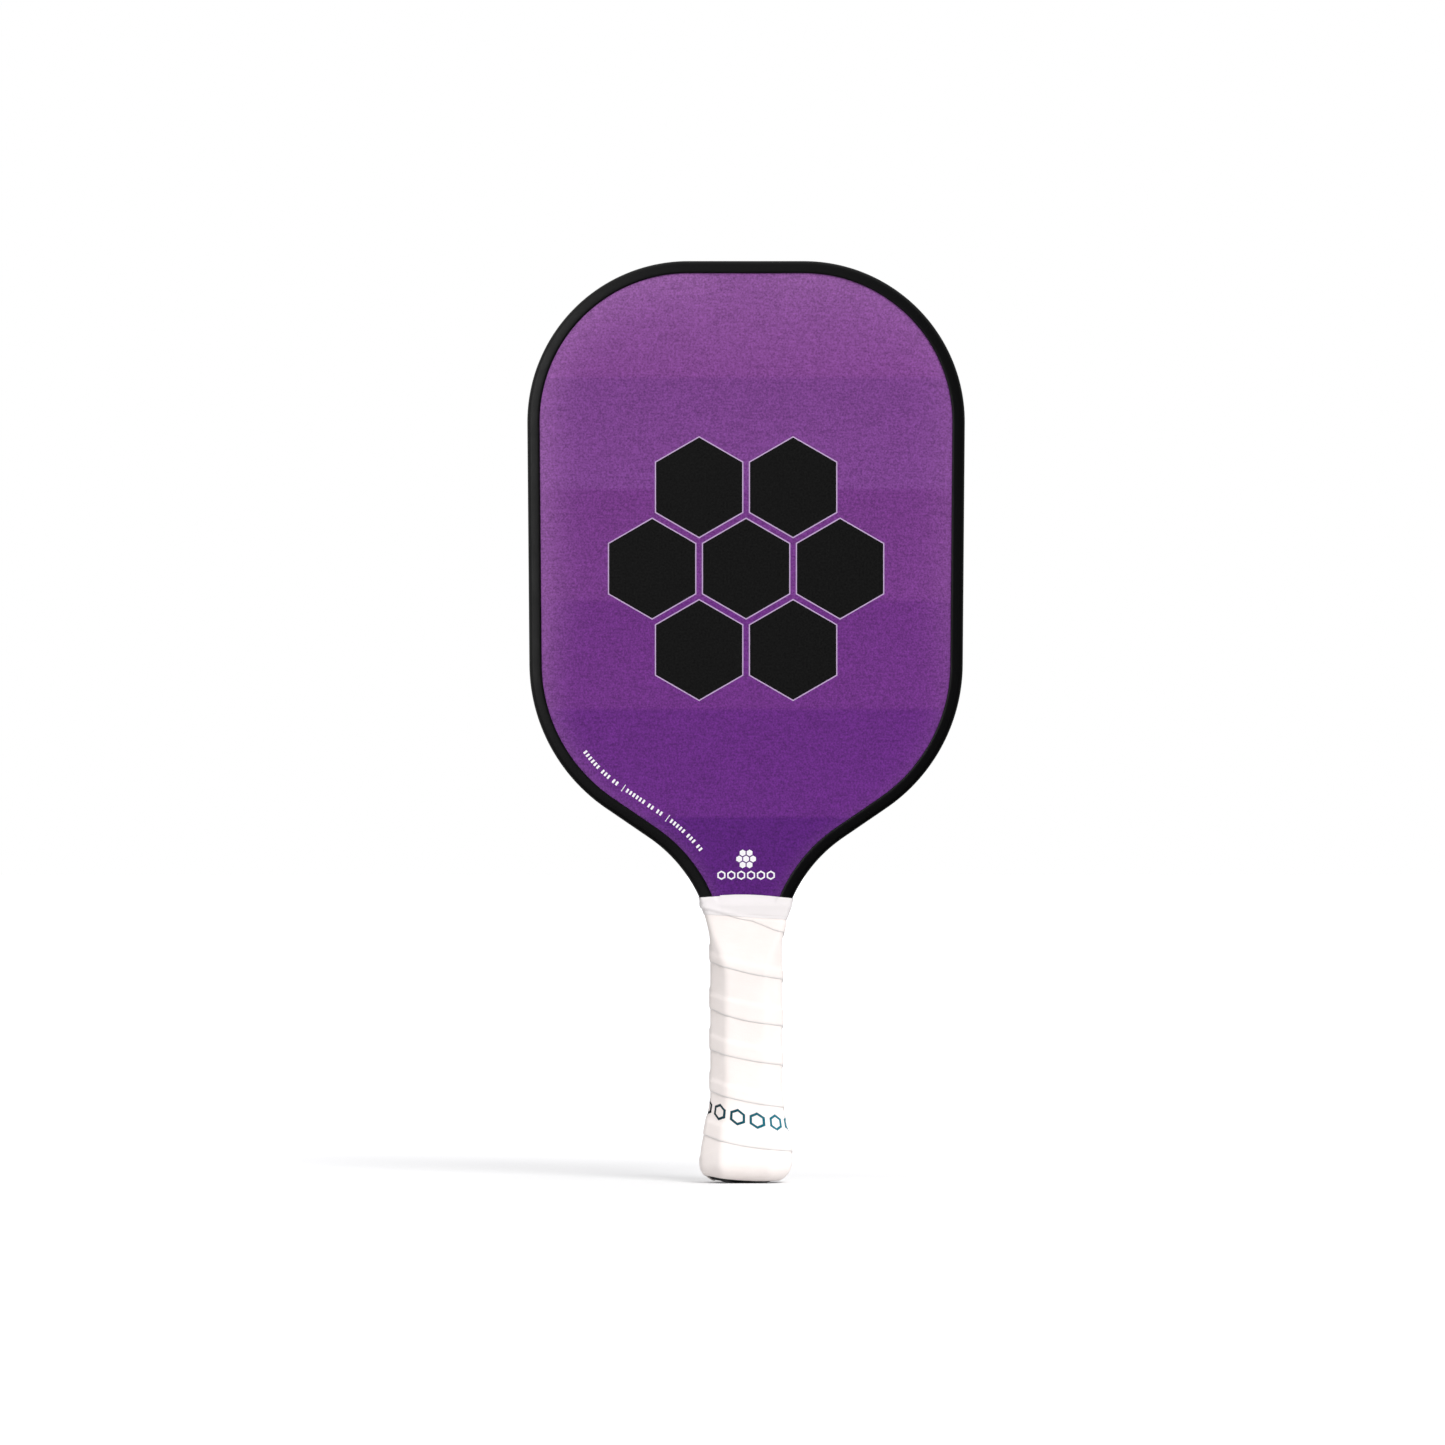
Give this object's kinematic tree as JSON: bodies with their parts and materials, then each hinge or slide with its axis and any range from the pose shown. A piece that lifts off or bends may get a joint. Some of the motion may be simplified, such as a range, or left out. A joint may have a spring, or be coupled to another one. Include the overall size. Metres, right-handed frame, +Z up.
{
  "type": "pickleball paddle",
  "caption": "Rounded flat paddle with a honeycomb sandwich face, a moulded edge guard and an eight-sided handle wound with overgrip.",
  "frame": {"origin": "middle of the flat land under the butt, where the paddle stands on end", "axes": "+Z up the handle to the top of the head, X across the face, Y through the thickness with the front face towards -Y"},
  "size_m": [0.193, 0.0362, 0.4064],
  "materials": {
    "core_polymer": "natural polypropylene honeycomb",
    "adhesive": "cured adhesive film",
    "glass_fibre_skin": "cured glass-fibre laminate",
    "printed_face": "matte, lightly textured purple film printed in six bands",
    "seal_tape": "thin dark tape",
    "guard_plastic": "satin black moulded plastic",
    "pallet_foam": "rigid moulded foam",
    "cap_rubber": "matte black moulded rubber",
    "badge_plastic": "plain glossy domed disc",
    "staple_steel": "bright wire",
    "base_grip_foam": "cushioned polyurethane strip",
    "overgrip_white": "white polyurethane-coated felt, slightly tacky, with faint teal and fine pore texture",
    "tape_white": "smooth white vinyl tape"
  },
  "bodies": {
    "root": {"honeycomb_core": "core_polymer", "front_adhesive_film": "adhesive", "rear_adhesive_film": "adhesive", "front_skin": "glass_fibre_skin", "rear_skin": "glass_fibre_skin", "front_printed_film": "printed_face", "rear_printed_film": "printed_face", "edge_seal_tape": "seal_tape", "edge_guard": "guard_plastic", "front_pallet": "pallet_foam", "rear_pallet": "pallet_foam", "front_pallet_tape": "adhesive", "rear_pallet_tape": "adhesive", "end_cap": "cap_rubber", "end_cap_badge": "badge_plastic", "end_cap_staples": "staple_steel", "base_grip": "base_grip_foam", "base_grip_tape": "seal_tape", "overgrip": "overgrip_white", "finishing_tape": "tape_white"}
  },
  "joints": []
}
